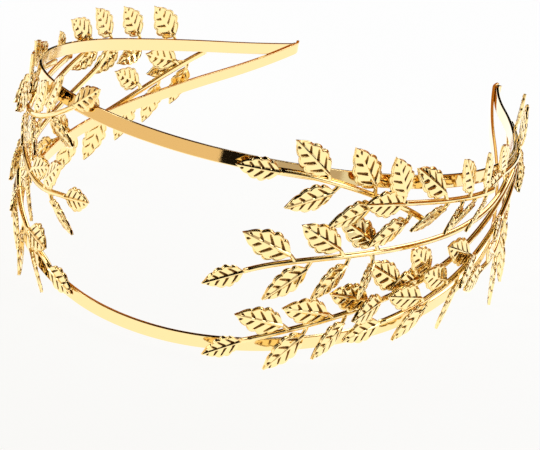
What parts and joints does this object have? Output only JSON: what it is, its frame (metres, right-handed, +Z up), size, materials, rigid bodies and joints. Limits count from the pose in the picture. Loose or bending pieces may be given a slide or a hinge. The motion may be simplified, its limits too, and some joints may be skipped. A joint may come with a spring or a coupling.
{
  "type": "leaf headband",
  "caption": "Spring headband of two flat gilt strips joined at the ends, with sprays of embossed leaves spreading from each side over the gap.",
  "frame": {"origin": "bottom centre of the bounding box, on the surface that the headband rests on", "axes": "+Z up as it lies; -Y towards the crown of the bend, the front with the bare strips; +Y towards the open ends; +X towards the right-hand sprays"},
  "size_m": [0.1156, 0.1594, 0.0513],
  "materials": {
    "gilt_strip": "gold plate, smooth and bright",
    "gilt_leaf": "gold plate over embossed metal, polished"
  },
  "bodies": {
    "root": {"double_band": "gilt_strip", "right_upper_twig": "gilt_leaf", "right_middle_twig": "gilt_leaf", "right_lower_twig": "gilt_leaf", "right_side_twig": "gilt_leaf", "right_crest_twig": "gilt_leaf", "right_rear_upper_twig": "gilt_leaf", "right_rear_lower_twig": "gilt_leaf", "left_upper_twig": "gilt_leaf", "left_middle_twig": "gilt_leaf", "left_lower_twig": "gilt_leaf", "left_side_twig": "gilt_leaf", "left_crest_twig": "gilt_leaf", "left_rear_upper_twig": "gilt_leaf", "left_rear_lower_twig": "gilt_leaf"}
  },
  "joints": []
}
